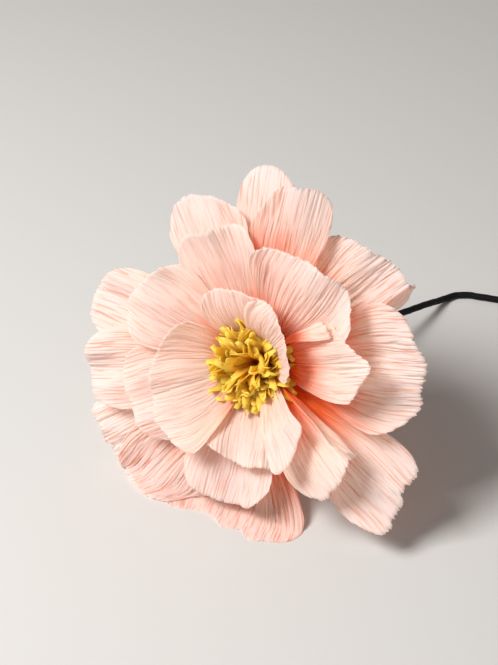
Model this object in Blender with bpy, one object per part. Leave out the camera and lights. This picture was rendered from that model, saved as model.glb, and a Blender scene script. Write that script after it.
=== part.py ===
"""Crepe paper peony, lying on a table on its lower petals and its wire stem.

Each petal is one sheet of crepe paper, each a closed thin body of its own. The petals
stand in rings round the stamens, cup outwards and bend over towards their tips. The
fringed paper stamens are one rolled strip. The stem is a wire wrapped in dark tape.
Lengths are in millimetres in the tables and are turned into metres at the end.
"""
import bpy
import bmesh
import numpy as np

MM = 0.001
PAPER = 0.35                     # thickness a paper sheet is modelled with
CLEAR = 0.4                      # gap between nested sheets
TABLE_TO_HEAD = 47.0             # height of the middle of the petals' starts
HEAD_X = -79.66
HEAD_Y = -19.45
TILT = 26.0                      # degrees the flower's axis rises above the table
TURN = 28.0                      # degrees the axis is turned from -Y towards -X

WIRE_R = 0.6
WIRE_GAP = 0.32                  # between the wire and what is wrapped round it
TAPE_WALL = 0.68
STEM_SIDES = 12

SPOKES = 24                      # cells round the stamens' rolled base
STRAND = 0.5                     # thickness of a stamen at its foot
STRAND_GAP = 0.4                 # between two rings of stamens
STRAND_WIDE = 1.1                # greatest width of a stamen
ROLL_RIM = 0.3                   # paper left inside the first and outside the last ring
ROLL_TOP = 7.0
ROLL_BOTTOM = -0.6
# Each ring of stamens, from the middle: lean at its foot and at its tip, length.
STAMENS = [(2.0, 12.0, 24.0), (8.0, 27.0, 24.0), (14.0, 40.0, 23.0), (20.0, 52.0, 22.0)]

ROLL_GAP = 0.65                  # from the stamens' roll to the innermost petals
START = 12.0                     # lean of the innermost petals at their start, degrees
START_STEP = 3.0                 # added lean at the start for each level
BEND = 28.0                      # length over which the innermost petals bend over
BEND_STEP = 0.7                  # how much shorter that length is for each level
CLAW = 2.9                       # half-width of a petal at its start
LOWEST = 7                       # outermost level, the one which lies on the table
INNER_REACH = 45.0               # usual length of a petal of each ring
MID_REACH = 55.0
OUTER_REACH = 70.0
WIDEN = 0.8                      # share of its length over which a petal widens
ROUND = 3.0                      # how square a petal's corners are, where it has no q
DROP = 0.25                      # share of its length they drop back, where it has no drop
WAVE = 1.1                       # height of the soft waves at the rims
PETAL_CELLS = (10, 7)            # cells across and along a petal
NECK_LONG = 13.0                 # how far behind the petals the cone of tape starts
NECK_CLEAR = 0.9                 # between the outermost petals' starts and the cone
NECK_WALL = 0.45                 # thickness of the cone at its rim
STEM_LIES = 130.5                # length of stem past the bend where it comes to lie
STEM_BOW = 2.5                   # how far that length bows sideways
STEM_STEPS = 2                   # runs of stem between two of its points
END_SHORT = 1.0                  # how much the tape stops short of the wire's cut end

TAPE_IN = WIRE_R + WIRE_GAP
TAPE_OUT = TAPE_IN + TAPE_WALL
ROLL_R = TAPE_IN + 2 * ROLL_RIM + len(STAMENS) * (STRAND + STRAND_GAP) - STRAND_GAP
RING = ROLL_R + ROLL_GAP         # radius the innermost petals start on
RING_STEP = PAPER + CLEAR        # how much further out each level starts
STACK = PAPER + CLEAR            # height each level nearer the axis is held above the table
HEAD = (HEAD_X, HEAD_Y, TABLE_TO_HEAD)
TAPE_FLAT = TAPE_OUT * np.cos(np.pi / STEM_SIDES)
LYING = TAPE_FLAT - TABLE_TO_HEAD
# Middle of the stem from inside the head to the bend where it comes to lie on the table,
# measured from HEAD. The rest lies along LIE, bowed a little, to its cut end.
STEM = [(-2.5, -4.8, 2.6), (0.0, 0.0, 0.0), (5.9, 11.1, -6.1), (18.0, 24.5, -12.9),
        (40.0, 46.6, -23.6), (62.0, 68.7, -33.6), (74.1, 81.2, -39.0),
        (81.6, 89.2, LYING + 1.5 * TAPE_OUT), (86.6, 94.0, LYING + 0.25 * TAPE_OUT),
        (91.0, 96.4, LYING), (96.5, 96.8, LYING), (103.0, 95.3, LYING)]
LIE = np.array([0.981, -0.195, 0.0])
# Cone of tape: share of its length behind the petals' starts, share of its widest radius.
NECK = [(1.0, 0.0), (0.85, 0.02), (0.62, 0.13), (0.38, 0.38), (0.17, 0.75), (0.0, 1.0),
        (-0.08, 1.08)]

# turn: place round the axis, 0 is the viewer's right and 90 is up. level: 0 is innermost.
# reach: length. half: half-width. lean: angle from the axis after the bend. curl: added
# lean towards the tip. q, drop: how the rim rounds off to its corners. rim: shares of the
# reach across the rim, clockwise side first. left, right: lift of the sides. claw: a
# narrower start than the usual one.
PETALS = [
    dict(name="petal_inner_left", turn=205, level=0, reach=INNER_REACH + 1, half=30, lean=62,
         curl=-10, left=4, rim=(0.62, 0.84, 0.98, 1.0, 0.98)),
    dict(name="petal_inner_right", turn=50, level=0, reach=INNER_REACH - 4, half=17, lean=43,
         q=5, drop=0.15, rim=(0.7, 0.92, 1.02, 1.08, 1.0)),
    dict(name="petal_inner_top", turn=103, level=1, reach=INNER_REACH - 7, half=16, lean=51),
    dict(name="petal_inner_low_right", turn=335, level=0.65, reach=INNER_REACH + 6, half=8,
         claw=1.5, lean=54, left=3, right=1, drop=0.1, rim=(1.16, 1.1, 1.02, 1.02, 1.06)),
    dict(name="petal_inner_bottom", turn=285, level=1.8, reach=INNER_REACH - 4, half=21, lean=63,
         q=5, drop=0.15, rim=(0.8, 0.92, 1.0, 1.02, 0.98)),
    dict(name="petal_mid_right", turn=28, level=2, reach=MID_REACH + 2, half=18, lean=62, right=3,
         q=5, drop=0.12, rim=(1.0, 1.1, 0.95, 0.82, 0.86)),
    dict(name="petal_mid_upper_right", turn=64, level=3, reach=MID_REACH + 1, half=24, lean=65,
         q=6, drop=0.16, rim=(0.95, 1.0, 1.0, 0.92, 0.83)),
    dict(name="petal_mid_low_right", turn=332, level=3, reach=MID_REACH + 2, half=19, lean=70,
         curl=6, q=4, rim=(0.95, 1.0, 1.0, 0.96, 0.9)),
    dict(name="petal_mid_left_upper", turn=160, level=3, reach=MID_REACH - 2, half=19, lean=71,
         rim=(0.94, 0.98, 1.0, 1.02, 1.0)),
    dict(name="petal_mid_upper_left", turn=117, level=3.75, reach=MID_REACH - 1, half=16, lean=72,
         curl=-8, q=4),
    dict(name="petal_mid_left", turn=213, level=4, reach=MID_REACH - 3, half=20, lean=76),
    dict(name="petal_mid_bottom", turn=272, level=5, reach=MID_REACH - 3, half=19, lean=74),
    dict(name="petal_outer_top_right", turn=85, level=4.6, reach=OUTER_REACH - 1, half=14.5,
         lean=78, q=5, drop=0.18, rim=(1.01, 1.01, 0.99, 0.95, 0.8)),
    dict(name="petal_outer_top", turn=96, level=5.5, reach=OUTER_REACH + 1, half=14, lean=82,
         q=2.4, drop=0.3),
    dict(name="petal_outer_left", turn=199, level=5, reach=OUTER_REACH - 3, half=17, lean=81),
    dict(name="petal_outer_right", turn=17, level=5, reach=OUTER_REACH - 4, half=25, lean=80, q=4,
         rim=(0.84, 0.95, 1.0, 0.98, 0.95)),
    dict(name="petal_outer_right_upper", turn=50, level=6, reach=OUTER_REACH - 6, half=24,
         lean=86, q=5, rim=(1.0, 1.0, 1.0, 0.92, 0.85)),
    dict(name="petal_outer_low_right", turn=334, level=6, reach=OUTER_REACH + 1, half=18, lean=86,
         q=7, drop=0.16, rim=(0.95, 1.04, 1.0, 0.95, 0.96)),
    dict(name="petal_outer_bottom_left", turn=245, level=6, reach=OUTER_REACH + 2, half=21,
         lean=84),
    dict(name="petal_outer_left_upper", turn=174, level=6, reach=OUTER_REACH - 3, half=16,
         lean=86, rim=(0.94, 0.98, 1.0, 1.0, 1.0)),
    dict(name="petal_outer_top_left", turn=121, level=7, reach=OUTER_REACH - 8, half=21, lean=88,
         rim=(0.88, 0.93, 0.97, 1.0, 1.0)),
    dict(name="petal_outer_low_left", turn=222, level=7, reach=OUTER_REACH, half=20, lean=88),
    dict(name="petal_outer_bottom", turn=274, level=7, reach=OUTER_REACH + 5, half=32, lean=88,
         rim=(0.98, 1.0, 1.0, 1.01, 0.88)),
]


def smooth(x):
    """Ease from 0 to 1 with level ends: 3x^2 - 2x^3."""
    x = np.clip(x, 0.0, 1.0)
    return x * x * (3.0 - 2.0 * x)


def curve(values, t):
    """Catmull-Rom curve through evenly spaced values, for t from 0 to 1."""
    values = np.asarray(values, float)
    knots = np.concatenate([values[:1], values, values[-1:]])
    at = np.clip(t, 0.0, 1.0) * (len(values) - 1)
    i = np.minimum(at.astype(int), len(values) - 2)
    f = (at - i) if values.ndim == 1 else (at - i)[..., None]
    a, b, c, d = knots[i], knots[i + 1], knots[i + 2], knots[i + 3]
    return 0.5 * (2 * b + (c - a) * f + (2 * a - 5 * b + 4 * c - d) * f ** 2
                  + (3 * b - a - 3 * c + d) * f ** 3)


def head_axes():
    """Across, up and outward directions of the flower head, as columns."""
    tilt = np.radians(TILT)
    turn = np.radians(TURN)
    out = np.array([-np.sin(turn) * np.cos(tilt), -np.cos(turn) * np.cos(tilt), np.sin(tilt)])
    across = np.array([np.cos(turn), -np.sin(turn), 0.0])
    return np.stack([across, np.cross(out, across), out], axis=1)


def waves(points):
    """Soft waves of the paper: points shift along the head's axis, more towards the rims.

    The shift depends only on the place across the axis, so nested petals keep their order.
    """
    x = points[..., 0]
    y = points[..., 1]
    r = np.hypot(x, y)
    turn = np.arctan2(y, x)
    wave = np.sin(11.0 * turn + 0.05 * r) + 0.6 * np.sin(17.0 * turn - 0.08 * r + 1.3)
    moved = points.copy()
    moved[..., 2] = points[..., 2] + WAVE * smooth((r - 14.0) / 34.0) * wave
    return moved


def to_world(points):
    """From the head's own axes to the shared frame, still in millimetres."""
    return points @ head_axes().T + np.array(HEAD)


def petal_points(p, u, v):
    """Middle surface of a petal; u runs -1 to 1 across it and v runs 0 to 1 along it.

    The midrib leaves its ring at the start lean and eases to its full lean over the bend
    length. Across the midrib the sheet follows a circle round the flower's axis, so petals
    of different levels nest. The far rim is a rounded corner curve, times the rim's shares.
    """
    level = p["level"]
    ring = RING + RING_STEP * level
    reach = p["reach"]
    shares = p.get("rim", (1.0, 1.0))
    longest = max(shares) + 0.02
    n = 200
    s = np.linspace(0.0, longest, n)
    a0 = START + START_STEP * level
    bend = (BEND - BEND_STEP * level) / reach
    a = a0 + (p["lean"] - a0) * smooth(s / bend)
    a = a + p.get("curl", 0.0) * np.clip((s - 0.5) / 0.5, 0.0, 1.0) ** 1.6
    a = np.radians(a)
    turn = np.radians(p["turn"])
    er = np.array([np.cos(turn), np.sin(turn), 0.0])
    et = np.array([-np.sin(turn), np.cos(turn), 0.0])
    ez = np.array([0.0, 0.0, 1.0])
    along = np.sin(a)[:, None] * er + np.cos(a)[:, None] * ez
    inward = -np.cos(a)[:, None] * er + np.sin(a)[:, None] * ez
    step = longest * reach / (n - 1)
    rib = np.concatenate([[np.zeros(3)], np.cumsum((along[1:] + along[:-1]) / 2 * step, axis=0)])
    rib = rib + ring * er
    out = ring + np.concatenate([[0.0], np.cumsum((np.sin(a[1:]) + np.sin(a[:-1])) / 2 * step)])
    round_ = np.maximum(np.cos(a), 0.02) / out
    corner = 1.0 - np.sqrt(np.clip(1.0 - np.abs(u) ** p.get("q", ROUND), 0.0, 1.0))
    far = v * (1.0 - p.get("drop", DROP) * corner) * curve(shares, (u + 1.0) / 2.0)
    claw = p.get("claw", CLAW)
    half = claw + (p["half"] - claw) * smooth((far - 0.02) / WIDEN) ** 0.9
    at = far / longest * (n - 1)
    i = np.clip(at.astype(int), 0, n - 2)
    f = at - i

    def pick(values):
        mix = f if values.ndim == 1 else f[..., None]
        return values[i] * (1.0 - mix) + values[i + 1] * mix

    k = pick(round_)
    angle = u * half * k
    x = np.sin(angle) / k
    depth = (1.0 - np.cos(angle)) / k
    lift = p.get("left", 0.0) * np.clip((-u - 0.3) / 0.7, 0.0, 1.0) ** 1.7
    lift = lift + p.get("right", 0.0) * np.clip((u - 0.3) / 0.7, 0.0, 1.0) ** 1.7
    depth = depth + lift * smooth((far - 0.2) / 0.5)
    return pick(rib) + x[..., None] * et + pick(inward) * depth[..., None]


def above_table(points, level):
    """Hold a sheet above the table: heights ease into a flat part at the level's own height."""
    low = PAPER / 2 + STACK * (LOWEST - level)
    z = points[..., 2] - low
    b = 2.0
    eased = np.where(z < -b, 0.0, np.where(z > b, z, (z + b) ** 2 / (4.0 * b)))
    held = points.copy()
    held[..., 2] = low + eased
    return held


def new_material(name, colour, roughness, metallic=0.0):
    """A plain material of one colour."""
    material = bpy.data.materials.new(name)
    material.use_nodes = True
    shader = material.node_tree.nodes["Principled BSDF"]
    shader.inputs["Base Color"].default_value = (*colour, 1.0)
    shader.inputs["Roughness"].default_value = roughness
    shader.inputs["Metallic"].default_value = metallic
    return material


def add_body(name, points, faces, material):
    """One closed body from points in millimetres, its faces turned outwards."""
    mesh = bpy.data.meshes.new(name)
    mesh.from_pydata((np.asarray(points) * MM).tolist(), [], [list(map(int, f)) for f in faces])
    work = bmesh.new()
    work.from_mesh(mesh)
    bmesh.ops.recalc_face_normals(work, faces=work.faces)
    work.to_mesh(mesh)
    work.free()
    mesh.materials.append(material)
    body = bpy.data.objects.new(name, mesh)
    bpy.context.scene.collection.objects.link(body)
    return body


def grid_faces(rows, columns, start=0, closed=False):
    """Four-sided faces of a grid of points stored row by row."""
    index = np.arange(rows * columns).reshape(rows, columns) + start
    if closed:
        index = np.concatenate([index, index[:, :1]], axis=1)
    corners = [index[:-1, :-1], index[:-1, 1:], index[1:, 1:], index[1:, :-1]]
    return np.stack(corners, axis=-1).reshape(-1, 4)


def sheet_body(p, material):
    """One petal: its middle surface thickened by the paper and closed round its edge."""
    across, along = PETAL_CELLS
    t = np.linspace(-1.0, 1.0, across + 1)
    u = np.sin(1.25 * t) / np.sin(1.25)
    v = np.linspace(0.0, 1.0, along + 1) ** 1.15
    u, v = np.meshgrid(u, v)
    middle = above_table(to_world(waves(petal_points(p, u, v))), p["level"])
    du = np.gradient(middle, axis=1)
    dv = np.gradient(middle, axis=0)
    normal = np.cross(du, dv)
    normal = normal / np.linalg.norm(normal, axis=-1, keepdims=True)
    front = middle + normal * PAPER / 2
    back = middle - normal * PAPER / 2
    rows, columns = u.shape
    count = rows * columns
    faces = [grid_faces(rows, columns), grid_faces(rows, columns, count)[:, ::-1]]
    index = np.arange(count).reshape(rows, columns)
    edge = np.concatenate([index[0, :-1], index[:-1, -1], index[-1, :0:-1], index[:0:-1, 0]])
    ahead = np.roll(edge, -1)
    faces.append(np.stack([edge, edge + count, ahead + count, ahead], axis=-1))
    points = np.concatenate([front.reshape(-1, 3), back.reshape(-1, 3)])
    add_body(p["name"], points, np.concatenate(faces), material)


def stem_path():
    """Smooth points along the stem, with two directions across it."""
    share = np.array([0.2, 0.45, 0.75, 1.0])[:, None]
    across = np.array([LIE[1], -LIE[0], 0.0])
    lying = np.array(STEM[-1]) + share * STEM_LIES * LIE
    lying = lying + 4.0 * share * (1.0 - share) * STEM_BOW * across
    knots = np.concatenate([STEM, lying]) + np.array(HEAD)
    path = curve(knots, np.linspace(0.0, 1.0, (len(knots) - 1) * STEM_STEPS + 1))
    path[:, 2] = np.maximum(path[:, 2], TAPE_FLAT)
    ahead = np.gradient(path, axis=0)
    ahead = ahead / np.linalg.norm(ahead, axis=1, keepdims=True)
    side = np.cross(ahead, np.array([0.0, 0.0, 1.0]))
    side = side / np.linalg.norm(side, axis=1, keepdims=True)
    return path, ahead, side, np.cross(side, ahead)


def hoop(centre, side, up, radius):
    """Points of a circle round a centre, with a flat side downwards."""
    angle = (np.arange(STEM_SIDES) + 0.5) * 2.0 * np.pi / STEM_SIDES
    return centre + radius * (np.cos(angle)[:, None] * side + np.sin(angle)[:, None] * up)


def tube_faces(rows, closed_ends):
    """Faces of a swept tube of hoops, with a fan-free cap at each end if asked."""
    faces = [tuple(f) for f in grid_faces(rows, STEM_SIDES, closed=True)]
    if closed_ends:
        faces.append(tuple(range(STEM_SIDES)))
        last = (rows - 1) * STEM_SIDES
        faces.append(tuple(range(last + STEM_SIDES - 1, last - 1, -1)))
    return faces


def wire_body(material):
    """The stem's wire, from inside the stamens to its cut end just clear of the tape."""
    path, ahead, side, up = stem_path()
    hoops = [hoop(path[i], side[i], up[i], WIRE_R) for i in range(len(path))]
    add_body("stem_wire", np.concatenate(hoops), tube_faces(len(hoops), True), material)


def tape_body(material):
    """The tape wound round the wire: a sleeve which widens to a cone over the petals."""
    path, ahead, side, up = stem_path()
    out = head_axes()[:, 2]
    inner = []
    outer = []
    distance = np.linalg.norm(path - np.array(HEAD), axis=1)
    keep = [i for i in range(len(path)) if distance[i] > NECK_LONG + 0.5]
    for i in keep[::-1]:
        middle = path[i] if i < len(path) - 1 else path[i] - ahead[i] * END_SHORT
        inner.append(hoop(middle, side[i], up[i], TAPE_IN))
        outer.append(hoop(middle, side[i], up[i], TAPE_OUT))
    across = np.cross(-out, np.array([0.0, 0.0, 1.0]))
    across = across / np.linalg.norm(across)
    above = np.cross(across, -out)
    widest = RING + RING_STEP * LOWEST + NECK_CLEAR - TAPE_IN
    profile = np.array(NECK) * (NECK_LONG, widest) + (0.0, TAPE_IN)
    slope = np.gradient(profile, axis=0)
    slope = slope / np.linalg.norm(slope, axis=1, keepdims=True)
    wall = np.linspace(TAPE_WALL, NECK_WALL, len(profile))
    for (back, radius), (d_back, d_radius), thick in zip(profile, slope, wall):
        middle = np.array(HEAD) - out * back
        inner.append(hoop(middle, across, above, radius))
        middle = np.array(HEAD) - out * (back + thick * d_radius)
        outer.append(hoop(middle, across, above, radius - thick * d_back))
    rows = len(inner)
    count = rows * STEM_SIDES
    first = grid_faces(rows, STEM_SIDES, closed=True)
    faces = [tuple(f) for f in first] + [tuple(f[::-1] + count) for f in first]
    for row in (0, rows - 1):
        for j in range(STEM_SIDES):
            a = row * STEM_SIDES + j
            b = row * STEM_SIDES + (j + 1) % STEM_SIDES
            faces.append((a, b, b + count, a + count) if row else (b, a, a + count, b + count))
    points = np.concatenate(inner + outer)
    add_body("stem_tape", points, faces, material)


def stamen_sections(radius, turn, foot, tip, length):
    """Cross-sections of one stamen from its foot to its tip, four corners each."""
    er = np.array([np.cos(turn), np.sin(turn), 0.0])
    et = np.array([-np.sin(turn), np.cos(turn), 0.0])
    ez = np.array([0.0, 0.0, 1.0])
    place = radius * er + ROLL_TOP * ez
    spacing = 2.0 * np.pi / (SPOKES / 2)
    sections = []
    for k in range(1, 4):
        t = (k - 0.5) / 3
        lean = np.radians(foot + (tip - foot) * t)
        place = place + (np.sin(lean) * er + np.cos(lean) * ez) * length / 3
        lean = np.radians(foot + (tip - foot) * k / 3)
        normal = np.cos(lean) * er - np.sin(lean) * ez
        wide = min(STRAND_WIDE, 0.6 * spacing * (place @ er)) * (0.5 if k == 3 else 1.0)
        deep = STRAND * (1.0, 0.9, 0.5)[k - 1]
        sections.append([place - normal * deep / 2 - et * wide / 2,
                         place - normal * deep / 2 + et * wide / 2,
                         place + normal * deep / 2 + et * wide / 2,
                         place + normal * deep / 2 - et * wide / 2])
    return sections


def stamens_body(material):
    """The fringed strip rolled round the wire: a ring-shaped base with strands on top."""
    points = []
    faces = []
    angle = np.arange(SPOKES) * 2.0 * np.pi / SPOKES
    rings = [TAPE_IN]
    for k in range(len(STAMENS)):
        rings.append(rings[-1] + (STRAND_GAP if k else ROLL_RIM))
        rings.append(rings[-1] + STRAND)
    rings.append(rings[-1] + ROLL_RIM)
    for radius in rings:
        for turn in angle:
            points.append((radius * np.cos(turn), radius * np.sin(turn), ROLL_TOP))
    for radius in (rings[0], rings[-1]):
        for turn in angle:
            points.append((radius * np.cos(turn), radius * np.sin(turn), ROLL_BOTTOM))
    strands = {2 * k + 1: values for k, values in enumerate(STAMENS)}
    for row in range(len(rings) - 1):
        for j in range(SPOKES):
            nxt = (j + 1) % SPOKES
            cell = [row * SPOKES + j, row * SPOKES + nxt,
                    (row + 1) * SPOKES + nxt, (row + 1) * SPOKES + j]
            if row not in strands or (j + row // 2) % 2:
                faces.append(cell)
                continue
            foot, tip, length = strands[row]
            turn = angle[j] + np.pi / SPOKES
            radius = (rings[row] + rings[row + 1]) / 2
            length = length * (1.0 + 0.1 * np.sin(3.7 * j + 1.9 * row))
            for section in stamen_sections(radius, turn, foot, tip, length):
                start = len(points)
                points.extend(section)
                new = [start, start + 1, start + 2, start + 3]
                for k in range(4):
                    m = (k + 1) % 4
                    faces.append([cell[k], cell[m], new[m], new[k]])
                cell = new
            faces.append(cell)
    inner_low = len(rings) * SPOKES
    outer_low = inner_low + SPOKES
    outer_top = (len(rings) - 1) * SPOKES
    for j in range(SPOKES):
        nxt = (j + 1) % SPOKES
        faces.append([inner_low + j, inner_low + nxt, nxt, j])
        faces.append([outer_top + j, outer_top + nxt, outer_low + nxt, outer_low + j])
        faces.append([outer_low + j, outer_low + nxt, inner_low + nxt, inner_low + j])
    add_body("stamen_fringe", to_world(np.array(points)), faces, material)


for old in list(bpy.data.objects):
    bpy.data.objects.remove(old, do_unlink=True)

PAPER_COLOURS = {
    "inner": new_material("crepe paper, deep peach", (0.93, 0.62, 0.48), 0.85),
    "mid": new_material("crepe paper, peach", (0.94, 0.72, 0.61), 0.85),
    "outer": new_material("crepe paper, pale blush", (0.95, 0.80, 0.73), 0.85),
}
for petal in PETALS:
    sheet_body(petal, PAPER_COLOURS[petal["name"].split("_")[1]])
stamens_body(new_material("crepe paper, golden yellow", (0.95, 0.62, 0.10), 0.85))
wire_body(new_material("steel wire", (0.55, 0.56, 0.57), 0.35, 1.0))
tape_body(new_material("paper tape, near black", (0.03, 0.035, 0.03), 0.7))
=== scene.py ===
import bpy
import numpy as np
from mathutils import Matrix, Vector


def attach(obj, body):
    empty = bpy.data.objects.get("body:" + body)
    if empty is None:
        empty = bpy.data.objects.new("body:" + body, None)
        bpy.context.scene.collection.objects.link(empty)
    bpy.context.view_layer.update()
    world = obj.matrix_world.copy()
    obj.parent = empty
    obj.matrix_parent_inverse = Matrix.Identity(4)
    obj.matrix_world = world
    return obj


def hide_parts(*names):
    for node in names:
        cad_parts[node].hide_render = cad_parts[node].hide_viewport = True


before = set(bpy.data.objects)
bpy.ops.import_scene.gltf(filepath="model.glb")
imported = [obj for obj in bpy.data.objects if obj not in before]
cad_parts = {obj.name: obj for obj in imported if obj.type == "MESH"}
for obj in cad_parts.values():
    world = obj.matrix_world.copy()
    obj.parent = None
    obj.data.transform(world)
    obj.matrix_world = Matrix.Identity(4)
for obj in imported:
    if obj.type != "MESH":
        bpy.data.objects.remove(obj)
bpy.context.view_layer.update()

# Inner petals. Five sheets of peach crepe paper stand round the stamens, cupped by stretching
# the paper across its grain. Each is gathered to a narrow start and bound to the wire.
MM = 0.001                      # the flower's and the stem's sizes are in millimetres
PAPER = 0.20                    # thickness of a sheet
HEAD = np.array([-79.66, -19.45, 47.0])     # middle of the ring that the petals start on
TILT = np.radians(26.0)         # how far the flower's axis rises above the table
TURN = np.radians(28.0)         # how far the axis is turned to the viewer's left
RING = 5.37                     # radius the innermost petals start on
STEP = 0.75                     # how much further out, and lower at the table, each level lies
CLAW = 2.9                      # half-width of a petal at its start
LOWEST = 7                      # level of the outermost petals
START_LEAN = 12.0               # a petal's angle from the axis at its start, in degrees
START_STEP = 3.0                # how much more it is for each level
BEND_LONG = 28.0                # length over which a petal bends to its full lean
BEND_STEP = 0.7                 # how much shorter it is for each level
WIDEN = 0.8                     # share of the reach over which a petal widens
RELIEF = 0.42                   # about the height of the crepe's ridges
RIDGES = (1.0, 0.6)             # distances between the points of the coarse and fine ridges
SOFT_WAVE = 1.1                 # height of the slow waves round the flower
FOLDS = 1.5                     # height of the folds that run along a petal
FOLD_WIDE = 6.5                 # distance between them
RIM_CURL = 2.2                  # how far the rim curls to the front or back
RAGGED = 0.3                    # depth of the rim's teeth
GRAIN = 0.18                    # about the width of one cell of a petal's grid
ROWS = 38                       # rows of its points along the petal
RIB_POINTS = 200                # places at which its midrib is worked out
LOW = 0.175                     # height of the outermost petals' middle surface on the table
EASE = 2.0                      # how far over and under that height they ease into it
CLEAR = 0.02                    # least gap between a sheet and the table

# turn: place round the axis, 0 is the viewer's right and 90 is up. level: 0 is innermost.
# reach: length. half: half-width. claw: half-width at the start. lean: angle from the axis
# after the bend, and curl adds to it towards the rim. left, right: how far those edges lift.
# q, drop: how square the far corners are, and how far they fall back. rim: shares of the
# reach across the rim. relief, folds, ragged: this petal's own ridges, folds and teeth.
# deep: how far the deep orange of its start, partly painted shade, reaches further out. bends: lines
# (u, v to u, v) past which the paper turns by an angle, towards the front if positive, on a radius,
# and a length over which the bend fades out.
INNER = [
    dict(name="petal_inner_left", turn=205, level=0, reach=46, half=30, lean=62, curl=-10, left=4,
         rim=(0.62, 0.84, 0.98, 1.0, 0.98)),
    dict(name="petal_inner_right", turn=50, level=0, reach=41, half=17, lean=43, q=5, drop=0.15,
         rim=(0.7, 0.92, 1.02, 1.08, 1.0)),
    dict(name="petal_inner_top", turn=103, level=1, reach=38, half=16, lean=51),
    dict(name="petal_inner_low_right", turn=327, level=0.65, reach=51, half=7.5, claw=1.5, lean=48,
         left=3, right=1, rim=(1.06, 1.0, 0.93, 0.88, 0.88), drop=0.1, relief=0.35, folds=0.5,
         deep=-0.1, bends=((-1.0, 0.76, 1.0, 0.86, -30, 1.5, 6.0),)),
    dict(name="petal_inner_bottom", turn=285, level=1.8, reach=41, half=21, lean=63, q=5, drop=0.15,
         rim=(0.8, 0.92, 1.0, 1.0, 0.9), bends=((0.3, 1.0, 0.3, 0.2, -72, 1.5, 8.0),)),
]


def smooth(x):
    """Ease from 0 to 1 with level ends: 3x^2 - 2x^3."""
    x = np.clip(x, 0.0, 1.0)
    return x * x * (3.0 - 2.0 * x)


def head_axes():
    """Across, up and outward directions of the flower head, as columns."""
    out = np.array([-np.sin(TURN) * np.cos(TILT), -np.cos(TURN) * np.cos(TILT), np.sin(TILT)])
    across = np.array([np.cos(TURN), -np.sin(TURN), 0.0])
    return np.stack([across, np.cross(out, across), out], axis=1)


def to_world(points):
    """From the head's own axes to the shared frame: turned, then moved to the head's place."""
    return points @ head_axes().T + HEAD


def lattice(x, y, seed, creased=False, size=(512, 64)):
    """Random heights on a square lattice, eased between its points along x and then along y.

    Creased, the heights run straight between the points along x, which leaves sharp folds.
    """
    heights = np.random.default_rng(seed).uniform(-1.0, 1.0, size)
    i = np.floor(x).astype(int)
    j = np.floor(y).astype(int)
    fx = (x - i) if creased else smooth(x - i)
    fy = smooth(y - j)
    here, beside = i % size[0], (i + 1) % size[0]
    row, after = j % size[1], (j + 1) % size[1]
    near = heights[here, row] * (1 - fx) + heights[beside, row] * fx
    far = heights[here, after] * (1 - fx) + heights[beside, after] * fx
    return near * (1 - fy) + far * fy


def crepe(across, along, seed):
    """Height of the crepe: flat-topped ridges with narrow valleys where a lattice changes sign.

    Two lattices stretched along the grain are added, one coarse and one fine. The place across
    the sheet first wanders by up to 0.5 mm, so no ridge runs quite straight. A third, wider
    lattice makes the valleys deeper in some places than in others.
    """
    wander = across + 0.5 * lattice(across / 5.0, along / 14.0, seed + 1)
    coarse = np.tanh(2.6 * np.abs(lattice(wander / RIDGES[0], along / 16.0, seed + 2)))
    fine = np.tanh(2.0 * np.abs(lattice(wander / RIDGES[1], along / 10.0, seed + 3)))
    height = coarse + 0.5 * fine - 1.1
    return height * (1.0 + 0.7 * lattice(wander / 3.0, along / 9.0, seed + 4))


def curve(values, t):
    """Catmull-Rom curve through evenly spaced values, for t from 0 to 1."""
    values = np.asarray(values, float)
    knots = np.concatenate([values[:1], values, values[-1:]])
    at = np.clip(t, 0.0, 1.0) * (len(values) - 1)
    i = np.minimum(at.astype(int), len(values) - 2)
    f = (at - i) if values.ndim == 1 else (at - i)[..., None]
    a, b, c, d = knots[i], knots[i + 1], knots[i + 2], knots[i + 3]
    return 0.5 * (2 * b + (c - a) * f + (2 * a - 5 * b + 4 * c - d) * f ** 2
                  + (3 * b - a - 3 * c + d) * f ** 3)


def soft_waves(points):
    """Soft waves of the paper: points shift along the axis by two sines of the turn round it.

    The shift starts 14 mm out from the axis and has its full height 48 mm out.
    """
    x, y = points[..., 0], points[..., 1]
    r = np.hypot(x, y)
    turn = np.arctan2(y, x)
    wave = np.sin(11.0 * turn + 0.05 * r) + 0.6 * np.sin(17.0 * turn - 0.08 * r + 1.3)
    moved = points.copy()
    moved[..., 2] += SOFT_WAVE * smooth((r - 14.0) / 34.0) * wave
    return moved


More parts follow.
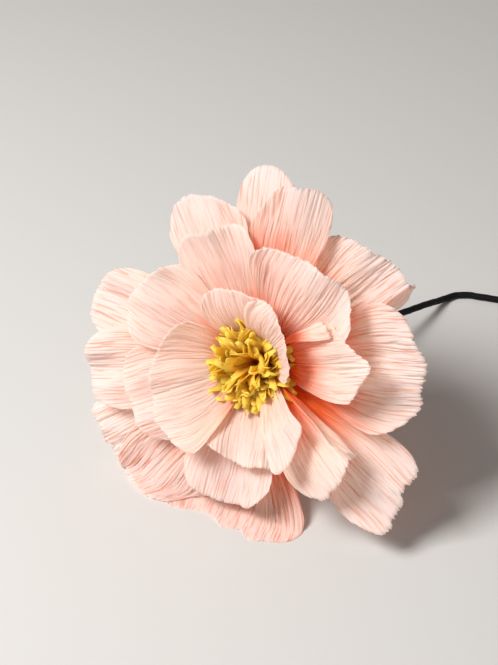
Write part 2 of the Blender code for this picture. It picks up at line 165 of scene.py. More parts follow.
def petal_points(p, u, v):
    """Middle surface of a petal; u runs -1 to 1 across it and v runs 0 to 1 along it.

    The midrib leaves its ring at a small lean and eases to its full lean over the bend length.
    Across the midrib the sheet follows a circle round the flower's axis, and its edges may lift
    off that circle. The far rim drops towards the corners by the root of 1 - u^q, times the
    shares given for its outline. Also returned are each point's distances on the flat sheet.
    """
    level, reach = p["level"], p["reach"]
    ring = RING + STEP * level
    n = RIB_POINTS
    longest = max(1.0, *p.get("rim", (1.0,))) + 0.02
    s = np.linspace(0.0, longest, n)
    start = START_LEAN + START_STEP * level
    a = start + (p["lean"] - start) * smooth(s * reach / (BEND_LONG - BEND_STEP * level))
    a = np.radians(a + p.get("curl", 0.0) * np.clip((s - 0.5) / 0.5, 0.0, 1.0) ** 1.6)
    turn = np.radians(p["turn"])
    er = np.array([np.cos(turn), np.sin(turn), 0.0])
    et = np.array([-np.sin(turn), np.cos(turn), 0.0])
    ez = np.array([0.0, 0.0, 1.0])
    along = np.sin(a)[:, None] * er + np.cos(a)[:, None] * ez
    inward = -np.cos(a)[:, None] * er + np.sin(a)[:, None] * ez
    step = longest * reach / (n - 1)
    rib = np.concatenate([[np.zeros(3)], np.cumsum((along[1:] + along[:-1]) / 2 * step, axis=0)])
    rib = rib + ring * er
    outward = (np.sin(a[1:]) + np.sin(a[:-1])) / 2 * step
    out = ring + np.concatenate([[0.0], np.cumsum(outward)])
    bow = np.maximum(np.cos(a), 0.02) / out
    corner = 1.0 - np.sqrt(np.clip(1.0 - np.abs(u) ** p.get("q", 3.0), 0.0, 1.0))
    far = v * (1.0 - p.get("drop", 0.25) * corner)
    far = far * curve(p.get("rim", (1.0, 1.0)), (u + 1.0) / 2.0)
    claw = p.get("claw", CLAW)
    half = claw + (p["half"] - claw) * smooth((far - 0.02) / WIDEN) ** 0.9
    at = far / longest * (n - 1)
    i = np.clip(at.astype(int), 0, n - 2)
    f = at - i

    def pick(values):
        """The midrib's values at each point, mixed between its two nearest places."""
        mix = f if values.ndim == 1 else f[..., None]
        return values[i] * (1.0 - mix) + values[i + 1] * mix

    k = pick(bow)
    angle = u * half * k
    depth = (1.0 - np.cos(angle)) / k
    lift = p.get("left", 0.0) * np.clip((-u - 0.3) / 0.7, 0.0, 1.0) ** 1.7
    lift = lift + p.get("right", 0.0) * np.clip((u - 0.3) / 0.7, 0.0, 1.0) ** 1.7
    depth = depth + lift * smooth((far - 0.2) / 0.5)
    place = pick(rib) + (np.sin(angle) / k)[..., None] * et + pick(inward) * depth[..., None]
    return place, u * half, far


def above_table(points, level):
    """Heights ease into a flat part just above the table, higher for each inner level."""
    low = LOW + STEP * (LOWEST - level)
    z = points[..., 2] - low
    eased = np.where(z > EASE, z, (z + EASE) ** 2 / (4.0 * EASE))
    held = points.copy()
    held[..., 2] = low + np.where(z < -EASE, 0.0, eased)
    return held


def unit(vectors):
    """The same vectors with length 1."""
    return vectors / np.linalg.norm(vectors, axis=-1, keepdims=True)


def face_normals(points):
    """Unit normals of a grid of points, towards the front: its two directions crossed."""
    return unit(np.cross(np.gradient(points, axis=0), np.gradient(points, axis=1)))


def square_to(vectors, directions):
    """Unit vectors left of the given ones when their parts along the directions are taken out."""
    return unit(vectors - directions * np.sum(vectors * directions, axis=-1, keepdims=True))


def bend_over(points, wide, along, u, v, bends):
    """Turn the paper past each given line of the sheet, rolled on a radius and then straight.

    The line joins two places (u, v). Each point belongs to the nearest place of the line, where
    the line's direction, the sheet's normal and their cross product make a frame. How far the
    point lies past the line, measured on the flat sheet, becomes an arc of the radius and then
    a straight run in that frame; what the cupped sheet adds to the flat one turns with it. The
    bend fades out past both ends of the line over the given length.
    """
    for u1, v1, u2, v2, angle, radius, fade in bends:
        normal = face_normals(points)
        share = np.linspace(0.0, 1.0, 31)
        apart = [(u - u1 - (u2 - u1) * s) ** 2 + (v - v1 - (v2 - v1) * s) ** 2 for s in share]
        rows, columns = np.array([np.unravel_index(np.argmin(gap), u.shape) for gap in apart]).T
        padded = np.pad(points[rows, columns], ((3, 3), (0, 0)), mode="reflect", reflect_type="odd")
        line = np.stack([np.convolve(part, np.ones(7) / 7.0, "valid") for part in padded.T], axis=-1)
        run = unit(np.gradient(line, axis=0))
        up = square_to(normal[rows, columns], run)
        x, y = wide[rows, columns], along[rows, columns]
        length = np.hypot(x[-1] - x[0], y[-1] - y[0])
        tx, ty = (x[-1] - x[0]) / length, (y[-1] - y[0]) / length
        t = (wide - x[0]) * tx + (along - y[0]) * ty
        past = (along - y[0]) * tx - (wide - x[0]) * ty
        on = np.clip(t / length, 0.0, 1.0)
        foot = curve(line[::5], on)
        ahead = unit(curve(run[::5], on))
        front = square_to(curve(up[::5], on), ahead)
        side = np.cross(ahead, front)
        window = smooth((t + fade) / fade) * smooth((length + fade - t) / fade)
        arc = np.minimum(np.maximum(past, 0.0) / radius, np.radians(abs(angle)) * window)
        sign = np.sign(angle)
        over = np.maximum(past, 0.0) - radius * arc
        extra_d = np.sum((points - foot) * side, axis=-1) - past
        extra_h = np.sum((points - foot) * front, axis=-1)
        straight = over + extra_d
        new_d = radius * np.sin(arc) + straight * np.cos(arc) - sign * extra_h * np.sin(arc)
        new_h = radius * (1.0 - np.cos(arc)) + straight * np.sin(arc)
        new_h = sign * new_h + extra_h * np.cos(arc)
        moved = (new_d - past - extra_d)[..., None] * side + (new_h - extra_h)[..., None] * front
        points = points + np.where(past > 0.0, 1.0, 0.0)[..., None] * moved
    return points


def add_piece(name, points, faces, material, uv):
    """Put points in millimetres and four-sided faces into a mesh; it rides on the one body."""
    mesh = bpy.data.meshes.new(name)
    mesh.from_pydata(points * MM, [], faces.tolist())
    layer = mesh.uv_layers.new(name="sheet")
    corner = np.zeros(len(mesh.loops), dtype=np.int32)
    mesh.loops.foreach_get("vertex_index", corner)
    layer.data.foreach_set("uv", uv[corner].astype(np.float32).ravel())
    mesh.materials.append(material)
    mesh.shade_smooth()
    piece = bpy.data.objects.new(name, mesh)
    bpy.context.scene.collection.objects.link(piece)
    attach(piece, "root")
    return piece


def grid_faces(rows, columns, start=0, closed=False):
    """Four-sided faces of a grid of points stored row by row."""
    index = np.arange(rows * columns).reshape(rows, columns) + start
    if closed:
        index = np.concatenate([index, index[:, :1]], axis=1)
    corners = [index[:-1, :-1], index[:-1, 1:], index[1:, 1:], index[1:, :-1]]
    return np.stack(corners, axis=-1).reshape(-1, 4)


def petal(p, seed, material):
    """One closed sheet: the middle surface with its ridges, thickened to front and back.

    The middle surface takes its soft waves, folds and bends, then the teeth of its far rim, and
    is eased onto the table. Both faces then shift together along the normal by the ridges'
    height. The teeth are the sum of three lattices, 0.55, 1.7 and 6 mm wide. The edge is a
    strip of flat-shaded faces round the sheet. The sheet's map holds the place across it in
    tenths of a metre, moved on by the seed, and the share of the reach.
    """
    columns = int(2.2 * p["half"] / GRAIN)
    t = np.linspace(-1.0, 1.0, columns)
    u, v = np.meshgrid(np.sin(t) / np.sin(1.0), np.linspace(0.0, 1.0, ROWS) ** 1.1)
    place, across, far = petal_points(p, u, v)
    along = far * p["reach"]
    wide = u * p["half"]
    middle = soft_waves(place)
    folds = p.get("folds", FOLDS) * lattice(wide / FOLD_WIDE, along / 40.0, seed + 7, creased=True)
    curls = RIM_CURL * lattice(wide / 11.0, 0 * u, seed + 9) * np.clip((v - 0.6) / 0.4, 0.0, 1.0) ** 2
    middle = middle + face_normals(middle) * (folds * smooth((v - 0.3) / 0.7) + curls)[..., None]
    middle = bend_over(middle, wide, along, u, v, p.get("bends", ()))
    teeth = lattice(wide / 0.55, 0 * u, seed + 5) + 0.8 * lattice(wide / 1.7, 0 * u, seed + 6)
    teeth = teeth + 2.6 * lattice(wide / 6.0, 0 * u, seed + 8, creased=True)
    ragged = p.get("ragged", RAGGED) * teeth
    ahead = unit(np.gradient(middle, axis=0))
    middle = middle + ahead * (ragged * smooth((v - 0.8) / 0.2))[..., None]
    middle = above_table(to_world(middle), p["level"])
    normal = face_normals(middle)
    relief = p.get("relief", RELIEF) * crepe(wide, along, seed) * smooth(v / 0.2)
    middle = middle + normal * relief[..., None]
    middle[..., 2] = np.maximum(middle[..., 2], PAPER / 2 + CLEAR)
    front = middle + normal * PAPER / 2
    back = middle - normal * PAPER / 2
    count = ROWS * columns
    index = np.arange(count).reshape(ROWS, columns)
    edge = np.concatenate([index[0, :-1], index[:-1, -1], index[-1, :0:-1], index[:0:-1, 0]])
    after = np.roll(edge, -1)
    faces = np.concatenate([grid_faces(ROWS, columns)[:, ::-1], grid_faces(ROWS, columns, count),
                            np.stack([edge, after, after + count, edge + count], axis=-1)])
    # The map's second place is the share of the reach moved back by deep, which carries the painted
    # shade of the start further out on petals in shade, or less far if negative.
    uv = np.stack([0.5 + wide / 100.0 + 0.17 * seed, far - p.get("deep", 0.0)], axis=-1)
    uv = uv.reshape(-1, 2)
    points = np.concatenate([front.reshape(-1, 3), back.reshape(-1, 3)])
    piece = add_piece(p["name"] + "_sheet", points, faces, material, np.concatenate([uv, uv]))
    flat = np.ones(len(faces), dtype=bool)
    flat[-len(edge):] = False
    piece.data.polygons.foreach_set("use_smooth", flat)
    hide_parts(p["name"])


GLOW = 0.65                     # share of the light that goes through the paper


def paper(name, start, belly, rim, fade, lines):
    """Crepe paper: deep orange at the start, partly painted shade, pale at the rim, fine ridges, lets
    light through.

    The colour follows the sheet's own map: fade holds the three places, as shares of the length,
    where the start's, the belly's and the rim's colour lie. The deep orange of the start is partly
    the paper's own tint and partly painted shade and painted warm bounced light, where the petals
    start deep in the flower; it fades out through the belly. Broad streaks of noise along the grain
    shift it. Fine ones paint shade as thin darker lines, by the given share, where the paper's finest
    valleys lie, and make the bump.
    """
    material = bpy.data.materials.new(name)
    material.use_nodes = True
    nodes, links = material.node_tree.nodes, material.node_tree.links
    shader = nodes["Principled BSDF"]
    shader.inputs["Roughness"].default_value = 0.8
    shader.inputs["Specular IOR Level"].default_value = 0.25
    sheet = nodes.new("ShaderNodeUVMap")
    sheet.uv_map = "sheet"
    split = nodes.new("ShaderNodeSeparateXYZ")
    links.new(sheet.outputs["UV"], split.inputs["Vector"])

    def streaks(across, along, detail):
        """Noise stretched along the grain: its places across and along for each unit of the map."""
        scale = nodes.new("ShaderNodeMapping")
        scale.inputs["Scale"].default_value = (across, along, 1.0)
        links.new(sheet.outputs["UV"], scale.inputs["Vector"])
        noise = nodes.new("ShaderNodeTexNoise")
        noise.inputs["Scale"].default_value = 1.0
        noise.inputs["Detail"].default_value = detail
        links.new(scale.outputs["Vector"], noise.inputs["Vector"])
        return noise.outputs["Fac"]

    place = nodes.new("ShaderNodeMath")
    place.operation = "MULTIPLY_ADD"
    place.inputs[1].default_value = 0.22
    links.new(streaks(60.0, 4.0, 3.0), place.inputs[0])
    links.new(split.outputs["Y"], place.inputs[2])
    # The ramp's deep orange start is partly the paper's tint and partly painted shade; belly and rim
    # are the paper's own colour.
    ramp = nodes.new("ShaderNodeValToRGB")
    stops = ramp.color_ramp.elements
    stops[0].position = fade[0]
    stops[0].color = (*start, 1.0)
    stops[1].position = fade[2]
    stops[1].color = (*rim, 1.0)
    stops.new(fade[1]).color = (*belly, 1.0)
    links.new(place.outputs["Value"], ramp.inputs["Fac"])
    # Painted shade: thin darker lines in the crepe's finest valleys, multiplied into the colour by
    # the given share.
    valley = nodes.new("ShaderNodeMapRange")
    valley.inputs["From Min"].default_value = 0.36
    valley.inputs["From Max"].default_value = 0.43
    valley.inputs["To Min"].default_value = lines
    valley.inputs["To Max"].default_value = 0.0
    fine = streaks(150.0, 4.0, 1.0)
    links.new(fine, valley.inputs["Value"])
    valley_shaded = nodes.new("ShaderNodeMix")
    valley_shaded.data_type = "RGBA"
    valley_shaded.blend_type = "MULTIPLY"
    valley_shaded.inputs["B"].default_value = (0.94, 0.73, 0.64, 1.0)
    links.new(valley.outputs["Result"], valley_shaded.inputs["Factor"])
    links.new(ramp.outputs["Color"], valley_shaded.inputs["A"])
    links.new(valley_shaded.outputs["Result"], shader.inputs["Base Color"])
    bump = nodes.new("ShaderNodeBump")
    bump.inputs["Strength"].default_value = 0.8
    bump.inputs["Distance"].default_value = 0.0004
    links.new(fine, bump.inputs["Height"])
    links.new(bump.outputs["Normal"], shader.inputs["Normal"])
    through = nodes.new("ShaderNodeBsdfTranslucent")
    warm = nodes.new("ShaderNodeMix")
    warm.data_type = "RGBA"
    warm.blend_type = "MULTIPLY"
    warm.inputs["Factor"].default_value = 1.0
    warm.inputs["B"].default_value = (1.0, 0.90, 0.82, 1.0)
    links.new(valley_shaded.outputs["Result"], warm.inputs["A"])
    links.new(warm.outputs["Result"], through.inputs["Color"])
    links.new(bump.outputs["Normal"], through.inputs["Normal"])
    mix = nodes.new("ShaderNodeMixShader")
    mix.inputs[0].default_value = GLOW
    links.new(shader.outputs["BSDF"], mix.inputs[1])
    links.new(through.outputs["BSDF"], mix.inputs[2])
    links.new(mix.outputs["Shader"], nodes["Material Output"].inputs["Surface"])
    return material


inner_paper = paper("crepe paper, inner petals", start=(1.0, 0.32, 0.08), belly=(1.0, 0.90, 0.82),
                    rim=(1.0, 0.95, 0.93), fade=(0.28, 0.62, 1.0), lines=0.45)
for number, p in enumerate(INNER):
    petal(p, 100 + 10 * number, inner_paper)

# Middle petals. Seven sheets of the same paper, longer and bent further back, fixed in a
# second ring outside the first.
MIDDLE = [
    dict(name="petal_mid_right", turn=28, level=2, reach=57, half=18, lean=62, right=3, deep=0.13,
         rim=(0.87, 0.98, 1.08, 0.93, 0.85, 0.81, 0.82), q=5, drop=0.06, ragged=0.6,
         bends=((0.66, 1.0, 0.66, 0.2, 130, 0.9, 12.0),)),
    dict(name="petal_mid_upper_right", turn=64, level=3, reach=56, half=24, lean=65, q=6, drop=0.16,
         rim=(0.95, 1.0, 1.0, 0.92, 0.83)),
    dict(name="petal_mid_low_right", turn=332, level=3, reach=57, half=19, lean=70, curl=6, q=4,
         rim=(0.95, 1.0, 1.0, 0.96, 0.9), ragged=0.6, deep=0.14,
         bends=((0.5, 1.0, 0.3, 0.3, 75, 1.2, 10.0),)),
    dict(name="petal_mid_left_upper", turn=160, level=3, reach=53, half=19, lean=71,
         rim=(0.94, 0.98, 1.0, 1.02, 1.0)),
    dict(name="petal_mid_upper_left", turn=117, level=3.75, reach=54, half=16, lean=72, curl=-8,
         q=4),
    dict(name="petal_mid_left", turn=213, level=4, reach=52, half=20, lean=76),
    dict(name="petal_mid_bottom", turn=272, level=5, reach=52, half=19, lean=74),
]
mid_paper = paper("crepe paper, middle petals", start=(1.0, 0.32, 0.08), belly=(1.0, 0.91, 0.85),
                  rim=(1.0, 0.95, 0.935), fade=(0.34, 0.66, 0.95), lines=0.6)
for number, p in enumerate(MIDDLE):
    petal(p, 200 + 10 * number, mid_paper)

# Outer petals. Eleven sheets, the longest ones, open nearly flat. The lowest of them carry
# the flower on the table.
OUTER = [
    dict(name="petal_outer_top_right", turn=85, level=4.6, reach=69, half=14.5, lean=78, q=5,
         drop=0.18, rim=(1.01, 1.01, 0.99, 0.95, 0.8), ragged=0.4, deep=0.09),
    dict(name="petal_outer_top", turn=96, level=5.5, reach=71, half=14, lean=82, q=2.4, drop=0.3,
         ragged=0.15),
    dict(name="petal_outer_left", turn=199, level=5, reach=67, half=17, lean=81),
    dict(name="petal_outer_right", turn=17, level=5, reach=66, half=25, lean=80, q=4,
         rim=(0.84, 0.95, 1.0, 0.98, 0.95), folds=1.8, relief=0.6, ragged=0.6),
    dict(name="petal_outer_right_upper", turn=50, level=6, reach=64, half=24, lean=86, q=5,
         rim=(1.0, 1.0, 1.0, 0.92, 0.85), relief=0.75, ragged=0.5,
         bends=((-0.42, 0.45, -0.36, 1.0, -85, 1.5, 12.0),)),
    dict(name="petal_outer_low_right", turn=334, level=6, reach=71, half=18, lean=86, q=7,
         drop=0.16, rim=(0.95, 1.04, 1.0, 0.95, 0.96), ragged=0.75),
    dict(name="petal_outer_bottom_left", turn=245, level=6, reach=72, half=21, lean=84, left=1,
         relief=0.9, folds=2.8, ragged=0.5),
    dict(name="petal_outer_left_upper", turn=174, level=6, reach=67, half=16, lean=86,
         rim=(0.94, 0.98, 1.0, 1.0, 1.0)),
    dict(name="petal_outer_top_left", turn=121, level=7, reach=62, half=21, lean=88,
         rim=(0.88, 0.93, 0.97, 1.0, 1.0), bends=((0.15, 0.5, 0.3, 0.98, 28, 1.5, 8.0),)),
    dict(name="petal_outer_low_left", turn=222, level=7, reach=70, half=20, lean=88, relief=0.85,
         folds=2.2, ragged=0.5),
    dict(name="petal_outer_bottom", turn=274, level=7, reach=75, half=32, lean=88, relief=0.9,
         folds=2.4, rim=(0.98, 1.0, 1.0, 1.01, 0.88), ragged=0.5),
]
outer_paper = paper("crepe paper, outer petals", start=(1.0, 0.34, 0.10), belly=(1.0, 0.88, 0.83),
                    rim=(1.0, 0.93, 0.92), fade=(0.46, 0.76, 1.0), lines=0.95)
for number, p in enumerate(OUTER):
    petal(p, 300 + 10 * number, outer_paper)

# Stamens. One strip of golden crepe paper, cut into a fringe and rolled round the wire. The
# strands are flat ribbons which spread and crook towards their tips.
ROLL_TOP = 7.0                  # height of the roll that the strands are cut from
ROLL_FOOT = -0.6                # where it starts
ROLL_IN = 0.95                  # its inner and outer radius
ROLL_OUT = 4.72
STRAND = 19.5                   # length of a strand
STRANDS = 230                   # how many there are
GOLDEN_TURN = 2.39996           # angle from one strand to the next, which spreads them evenly
RIBBON_STEPS = 9                # cells along a strand
TUFT_LEAN = np.array([-0.05, 0.10, 0.0])    # the tuft nods a little up and to the left


def golden_paper():
    """Golden crepe paper: yellow at the tips, and orange towards the roll as painted shade where the
    strands crowd together at their feet.
    """
    material = bpy.data.materials.new("crepe paper, golden yellow")
    material.use_nodes = True
    nodes, links = material.node_tree.nodes, material.node_tree.links
    shader = nodes["Principled BSDF"]
    shader.inputs["Roughness"].default_value = 0.75
    shader.inputs["Specular IOR Level"].default_value = 0.25
    sheet = nodes.new("ShaderNodeUVMap")
    sheet.uv_map = "sheet"
    split = nodes.new("ShaderNodeSeparateXYZ")
    links.new(sheet.outputs["UV"], split.inputs["Vector"])
    # Painted shade: the ramp runs from deep orange at the strands' feet and the roll, where they lie
    # in shade, to yellow at the tips.
    ramp = nodes.new("ShaderNodeValToRGB")
    stops = ramp.color_ramp.elements
    stops[0].position = 0.0
    stops[0].color = (1.0, 0.34, 0.03, 1.0)
    stops[1].position = 1.0
    stops[1].color = (1.0, 0.83, 0.17, 1.0)
    stops.new(0.45).color = (1.0, 0.66, 0.06, 1.0)
    links.new(split.outputs["Y"], ramp.inputs["Fac"])
    links.new(ramp.outputs["Color"], shader.inputs["Base Color"])
    through = nodes.new("ShaderNodeBsdfTranslucent")
    links.new(ramp.outputs["Color"], through.inputs["Color"])
    mix = nodes.new("ShaderNodeMixShader")
    mix.inputs[0].default_value = 0.45
    links.new(shader.outputs["BSDF"], mix.inputs[1])
    links.new(through.outputs["BSDF"], mix.inputs[2])
    links.new(mix.outputs["Shader"], nodes["Material Output"].inputs["Surface"])
    return material


def stamens(material):
    """All strands at once, and the roll that they are cut from.

    Strand k stands at k golden turns round the axis, its foot further from the axis as k
    grows. Its middle line leans from a foot lean to a tip lean along its length, crooks
    sideways, and curls over near the tip. Across that line lie three points, the middle one
    raised, so that each ribbon is a shallow gutter; it has a front, a back and two edges.
    """
    rng = np.random.default_rng(11)
    k = np.arange(STRANDS)
    part = np.sqrt((k + 0.5) / STRANDS)
    turn = GOLDEN_TURN * k + rng.uniform(-0.25, 0.25, STRANDS)
    foot_radius = 1.2 + 3.0 * part
    foot = np.radians(4.0 + 40.0 * part + rng.uniform(-5, 5, STRANDS))
    tip = np.radians(14.0 + 56.0 * part + rng.uniform(-12, 12, STRANDS))
    inward_or_out = rng.choice([-1.0, 1.0], STRANDS, p=[0.35, 0.65])
    hook = np.radians(inward_or_out * rng.uniform(5, 75, STRANDS))
    crook = rng.normal(0.0, 0.35, STRANDS)
    length = STRAND * (1.0 + rng.uniform(-0.25, 0.12, STRANDS))
    twist = rng.uniform(-1.5, 1.5, STRANDS)
    wide = rng.uniform(2.2, 3.9, STRANDS)
    gutter = rng.uniform(0.1, 0.35, STRANDS)
    t = np.linspace(0.0, 1.0, RIBBON_STEPS + 1)[:, None]
    lean = foot + (tip - foot) * t ** 1.3 + hook * smooth((t - 0.6) / 0.4)
    side = crook * smooth((t - 0.35) / 0.65) * 1.5
    er = np.stack([np.cos(turn), np.sin(turn), 0 * turn], axis=-1)
    et = np.stack([-np.sin(turn), np.cos(turn), 0 * turn], axis=-1)
    ez = np.array([0.0, 0.0, 1.0])
    ahead = (np.sin(lean) * np.cos(side))[..., None] * er + np.sin(side)[..., None] * et
    ahead = ahead + (np.cos(lean) * np.cos(side))[..., None] * ez + TUFT_LEAN * t[..., None]
    ahead = unit(ahead)
    between = (ahead[1:] + ahead[:-1]) / 2 * length[:, None] / RIBBON_STEPS
    steps = np.concatenate([0 * ahead[:1], between])
    line = foot_radius[:, None] * er + (ROLL_TOP - 0.3) * ez + np.cumsum(steps, axis=0)
    across = square_to(et, ahead)
    facing = np.cross(across, ahead)
    roll = (twist * t)[..., None]
    flat = np.cos(roll) * across + np.sin(roll) * facing
    thick = np.cross(flat, ahead)
    narrow = 0.35 + 0.65 * smooth(t / 0.35)
    ruffle = 0.35 * np.sin(9.0 * t + 2.0 * k) * smooth((t - 0.5) / 0.5)
    half = (wide / 2 * narrow * (1.0 - 0.3 * smooth((t - 0.85) / 0.15)))[..., None] * flat
    deep = PAPER / 2 * thick
    rise = (gutter * narrow)[..., None] * thick
    wave = ruffle[..., None] * thick
    corners = np.stack([line - half - deep - wave, line - deep + rise, line + half - deep + wave,
                        line + half + deep + wave, line + deep + rise, line - half + deep - wave],
                       axis=2)
    points = corners.transpose(1, 0, 2, 3).reshape(STRANDS, -1, 3)
    ring = grid_faces(RIBBON_STEPS + 1, 6, closed=True)
    last = 6 * RIBBON_STEPS
    caps = [[5, 4, 1, 0], [4, 3, 2, 1], [last, last + 1, last + 4, last + 5],
            [last + 1, last + 2, last + 3, last + 4]]
    ring = np.concatenate([ring, caps])
    first = (np.arange(STRANDS) * points.shape[1])[:, None, None]
    faces = (ring[None, :, ::-1] + first).reshape(-1, 4)
    share = np.repeat(t[:, 0], 6)
    uv = np.stack([np.repeat(k / STRANDS, len(share)), np.tile(share, STRANDS)], axis=-1)
    angle = np.linspace(0.0, 2.0 * np.pi, 49)[:-1]
    profile = np.array([(ROLL_IN, ROLL_FOOT), (ROLL_OUT, ROLL_FOOT), (ROLL_OUT, ROLL_TOP),
                        (4.3, ROLL_TOP + 0.25), (1.3, ROLL_TOP + 0.25), (ROLL_IN, ROLL_TOP)])
    around = np.stack([np.cos(angle), np.sin(angle)], axis=-1)
    roll_points = np.concatenate([profile[:, None, :1] * around[None],
                                  np.repeat(profile[:, None, 1:], len(angle), axis=1)], axis=-1)
    count = points.shape[0] * points.shape[1]
    rim = np.arange(len(angle))
    after = np.roll(rim, -1)
    top = count + (len(profile) - 1) * len(angle)
    close = np.stack([top + rim, top + after, count + after, count + rim], axis=-1)
    roll_faces = np.concatenate([grid_faces(len(profile), len(angle), count, closed=True), close])
    all_points = np.concatenate([points.reshape(-1, 3), roll_points.reshape(-1, 3)])
    all_uv = np.concatenate([uv, np.zeros((roll_points.size // 3, 2))])
    piece = add_piece("stamen_strands", to_world(all_points), np.concatenate([faces, roll_faces]),
                      material, all_uv)
    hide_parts("stamen_fringe")


stamens(golden_paper())

# Stem. A steel wire wound with near black paper tape, whose edge makes a low spiral step. At
# the head the tape widens to a cone which binds the petals' starts.
TAPE_IN = 0.92                  # inner radius of the tape, clear of the wire
TAPE_OUT = 1.6                  # its outer radius
BARE_END = 1.0                  # length of wire that the tape leaves bare at the cut end
NECK_LONG = 13.0                # length of the cone
NECK_CLEAR = 0.9                # between the outermost petals' starts and the cone
NECK_WALL = 0.45                # thickness of the cone at its rim
STEM_SIDES = 24
SOLID_SIDES = 12                # the tape's solid has twelve sides and lies on a flat one
TAPE_PITCH = 8.0                # length of stem that one turn of the tape covers
TAPE_LAP = 0.16                 # height of the step where a turn laps over the last one
LYING = TAPE_OUT * np.cos(np.pi / SOLID_SIDES) - HEAD[2]    # height of the lying stem, from HEAD

# STEM: the middle line from inside the head to where it lies, from HEAD. NECK: the cone's
# profile, as shares of its length down the stem and of its greatest width.
STEM = [(-2.5, -4.8, 2.6), (0.0, 0.0, 0.0), (5.9, 11.1, -6.1), (18.0, 24.5, -12.9),
        (40.0, 46.6, -23.6), (62.0, 68.7, -33.6), (74.1, 81.2, -39.0),
        (81.6, 89.2, LYING + 1.5 * TAPE_OUT), (86.6, 94.0, LYING + 0.25 * TAPE_OUT),
        (91.0, 96.4, LYING), (96.5, 96.8, LYING), (103.0, 95.3, LYING)]
LIE = np.array([0.981, -0.195, 0.0])    # the way the rest of the stem lies on the table
STEM_LIES = 130.5               # length of that rest
STEM_BOW = 2.5                  # how far it bows sideways there
NECK = [(1.0, 0.0), (0.85, 0.02), (0.62, 0.13), (0.38, 0.38), (0.17, 0.75), (0.0, 1.0),
        (-0.08, 1.08)]


def stem_path(steps):
    """Catmull-Rom curve through the stem's points and its bowed rest, held above the table."""
    share = np.array([0.2, 0.45, 0.75, 1.0])[:, None]
    across = np.array([LIE[1], -LIE[0], 0.0])
    bow = 4.0 * share * (1.0 - share) * STEM_BOW * across
    lying = np.array(STEM[-1]) + share * STEM_LIES * LIE + bow
    knots = np.concatenate([STEM, lying]) + HEAD
    path = curve(knots, np.linspace(0.0, 1.0, (len(knots) - 1) * steps + 1))
    path[:, 2] = np.maximum(path[:, 2], HEAD[2] + LYING)
    return path


def tape_material():
    """Near black crepe tape, matt, with a fine grain round the stem."""
    material = bpy.data.materials.new("paper tape, near black")
    material.use_nodes = True
    nodes, links = material.node_tree.nodes, material.node_tree.links
    shader = nodes["Principled BSDF"]
    shader.inputs["Roughness"].default_value = 0.65
    shader.inputs["Specular IOR Level"].default_value = 0.1
    sheet = nodes.new("ShaderNodeUVMap")
    sheet.uv_map = "sheet"
    noise = nodes.new("ShaderNodeTexNoise")
    noise.inputs["Scale"].default_value = 60.0
    noise.inputs["Detail"].default_value = 4.0
    links.new(sheet.outputs["UV"], noise.inputs["Vector"])
    ramp = nodes.new("ShaderNodeValToRGB")
    ramp.color_ramp.elements[0].color = (0.003, 0.003, 0.003, 1.0)
    ramp.color_ramp.elements[1].color = (0.010, 0.009, 0.010, 1.0)
    links.new(noise.outputs["Fac"], ramp.inputs["Fac"])
    links.new(ramp.outputs["Color"], shader.inputs["Base Color"])
    bump = nodes.new("ShaderNodeBump")
    bump.inputs["Strength"].default_value = 0.5
    bump.inputs["Distance"].default_value = 0.0002
    links.new(noise.outputs["Fac"], bump.inputs["Height"])
    links.new(bump.outputs["Normal"], shader.inputs["Normal"])
    return material


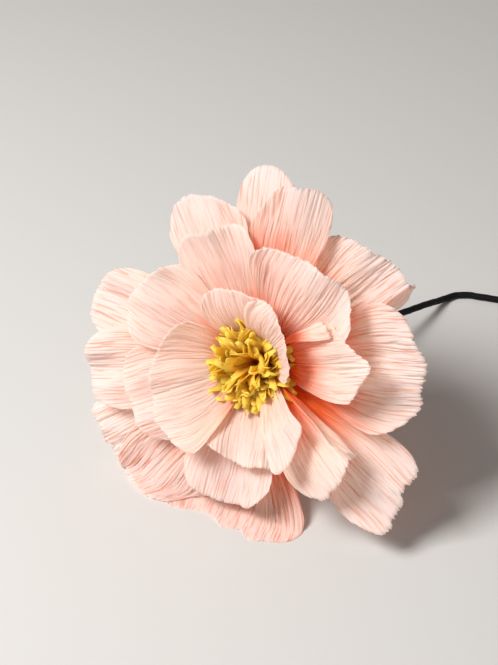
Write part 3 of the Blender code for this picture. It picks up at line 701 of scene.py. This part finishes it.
def tape(material):
    """The wound tape: hoops along the stem, then hoops along the cone's profile.

    The outer wall's radius falls by a small step along a spiral, where each turn of the tape
    laps over the last one. The inner wall is plain.
    """
    path = stem_path(12)
    ahead = unit(np.gradient(path, axis=0))
    side = unit(np.cross(ahead, np.array([0.0, 0.0, 1.0])))
    up = np.cross(side, ahead)
    keep = np.linalg.norm(path - HEAD, axis=1) > NECK_LONG + 0.5
    path, ahead, side, up = path[keep][::-1], ahead[keep][::-1], side[keep][::-1], up[keep][::-1]
    path[0] = path[0] - ahead[0] * BARE_END
    out = head_axes()[:, 2]
    across = unit(np.cross(-out, np.array([0.0, 0.0, 1.0])))
    above = np.cross(across, -out)
    widest = RING + STEP * LOWEST + NECK_CLEAR - TAPE_IN
    shape = np.array(NECK)
    t = np.linspace(0.0, len(NECK) - 1, 37)
    profile = np.stack([np.interp(t, np.arange(len(NECK)), shape[:, 0]),
                        np.interp(t, np.arange(len(NECK)), shape[:, 1])], axis=1)
    profile = profile * (NECK_LONG, widest) + (0.0, TAPE_IN)
    slope = unit(np.gradient(profile, axis=0))
    wall = np.linspace(TAPE_OUT - TAPE_IN, NECK_WALL, len(profile))[:, None]
    cone = len(profile)
    centre_in = np.concatenate([path, HEAD - out * profile[:, :1]])
    centre_out = np.concatenate([path, HEAD - out * (profile[:, :1] + wall * slope[:, 1:])])
    cone_out = (profile[:, 1:] - wall * slope[:, :1])[:, 0]
    radius_in = np.concatenate([np.full(len(path), TAPE_IN), profile[:, 1]])
    radius_out = np.concatenate([np.full(len(path), TAPE_OUT), cone_out])
    side = np.concatenate([side, np.repeat(across[None], cone, axis=0)])
    up = np.concatenate([up, np.repeat(above[None], cone, axis=0)])
    run = np.concatenate([[0.0], np.cumsum(np.linalg.norm(np.diff(centre_in, axis=0), axis=1))])
    angle = (np.arange(STEM_SIDES) + 0.5) * 2.0 * np.pi / STEM_SIDES
    winding = (run[:, None] / TAPE_PITCH + angle[None] / (2.0 * np.pi)) % 1.0
    lap = -TAPE_LAP * winding * smooth(run / 3.0)[:, None]
    ring = np.cos(angle)[None, :, None] * side[:, None] + np.sin(angle)[None, :, None] * up[:, None]
    inner = centre_in[:, None] + radius_in[:, None, None] * ring
    outer = centre_out[:, None] + (radius_out[:, None] + lap)[..., None] * ring
    rows = len(centre_in)
    count = rows * STEM_SIDES
    first = grid_faces(rows, STEM_SIDES, closed=True)
    j = np.arange(STEM_SIDES)
    nxt = np.roll(j, -1)
    last = (rows - 1) * STEM_SIDES
    near_end = np.stack([nxt, j, j + count, nxt + count], axis=-1)
    far_end = np.stack([last + j, last + nxt, last + nxt + count, last + j + count], axis=-1)
    faces = np.concatenate([first[:, ::-1], first + count, near_end[:, ::-1], far_end[:, ::-1]])
    uv = np.stack(np.broadcast_arrays(angle[None] / 30.0, run[:, None] / 100.0), axis=-1)
    uv = uv.reshape(-1, 2)
    points = np.concatenate([inner.reshape(-1, 3), outer.reshape(-1, 3)])
    piece = add_piece("stem_tape_wound", points, faces, material, np.concatenate([uv, uv]))
    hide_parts("stem_tape")


tape(tape_material())

# Wire. One length of drawn steel inside the tape, with a light, uneven polish. Its own solid
# stays, and only its cut end shows.
steel = bpy.data.materials.new("drawn steel wire")
steel.use_nodes = True
steel_shader = steel.node_tree.nodes["Principled BSDF"]
steel_shader.inputs["Metallic"].default_value = 1.0
steel_noise = steel.node_tree.nodes.new("ShaderNodeTexNoise")
steel_noise.inputs["Scale"].default_value = 900.0
steel_place = steel.node_tree.nodes.new("ShaderNodeTexCoord")
steel_range = steel.node_tree.nodes.new("ShaderNodeMapRange")
steel_range.inputs["To Min"].default_value = 0.25
steel_range.inputs["To Max"].default_value = 0.5
steel_shader.inputs["Base Color"].default_value = (0.55, 0.56, 0.57, 1.0)
steel.node_tree.links.new(steel_place.outputs["Object"], steel_noise.inputs["Vector"])
steel.node_tree.links.new(steel_noise.outputs["Fac"], steel_range.inputs["Value"])
steel.node_tree.links.new(steel_range.outputs["Result"], steel_shader.inputs["Roughness"])
wire = bpy.data.objects["stem_wire"]
for place in wire.material_slots:
    place.material = steel

# Table, light and camera: a pale table, one soft lamp 0.4 m across, high on the left and a
# little in front, and a weak fill from all round. The camera looks down on the flower by 40
# degrees, as in the photograph.
table_mesh = bpy.data.meshes.new("table")
table_mesh.from_pydata([(-4, -4, 0), (4, -4, 0), (4, 4, 0), (-4, 4, 0)], [], [(0, 1, 2, 3)])
table = bpy.data.objects.new("table", table_mesh)
bpy.context.scene.collection.objects.link(table)
table_paint = bpy.data.materials.new("pale table")
table_paint.use_nodes = True
table_shader = table_paint.node_tree.nodes["Principled BSDF"]
table_shader.inputs["Roughness"].default_value = 0.9
seen = table_paint.node_tree.nodes.new("ShaderNodeLightPath")
shade = table_paint.node_tree.nodes.new("ShaderNodeMix")
shade.data_type = "RGBA"
shade.inputs["A"].default_value = (0.86, 0.85, 0.84, 1.0)
shade.inputs["B"].default_value = (0.57, 0.555, 0.53, 1.0)
table_paint.node_tree.links.new(seen.outputs["Is Camera Ray"], shade.inputs["Factor"])
table_paint.node_tree.links.new(shade.outputs["Result"], table_shader.inputs["Base Color"])
table_mesh.materials.append(table_paint)


def lamp(name, place, target, size, watts):
    """A square area lamp at a place, turned so that it shines on the target."""
    light = bpy.data.lights.new(name, "AREA")
    light.shape = "SQUARE"
    light.size = size
    light.energy = watts
    holder = bpy.data.objects.new(name, light)
    bpy.context.scene.collection.objects.link(holder)
    holder.location = place
    holder.rotation_euler = (Vector(place) - Vector(target)).to_track_quat("Z", "Y").to_euler()


lamp("window", (-0.72, -0.28, 0.92), (-0.08, -0.02, 0.04), 0.4, 17.0)
world = bpy.data.worlds.new("room")
world.use_nodes = True
world.node_tree.nodes["Background"].inputs["Color"].default_value = (1.0, 0.98, 0.96, 1.0)
world.node_tree.nodes["Background"].inputs["Strength"].default_value = 0.27
bpy.context.scene.world = world

camera_data = bpy.data.cameras.new("camera")
camera_data.lens = 62.85
camera = bpy.data.objects.new("camera", camera_data)
camera.location = (-0.08702, -0.35807, 0.34353)
camera.rotation_euler = (np.radians(50.0), 0.0, 0.0)
bpy.context.scene.collection.objects.link(camera)
bpy.context.scene.camera = camera
bpy.context.scene.view_settings.view_transform = "Standard"
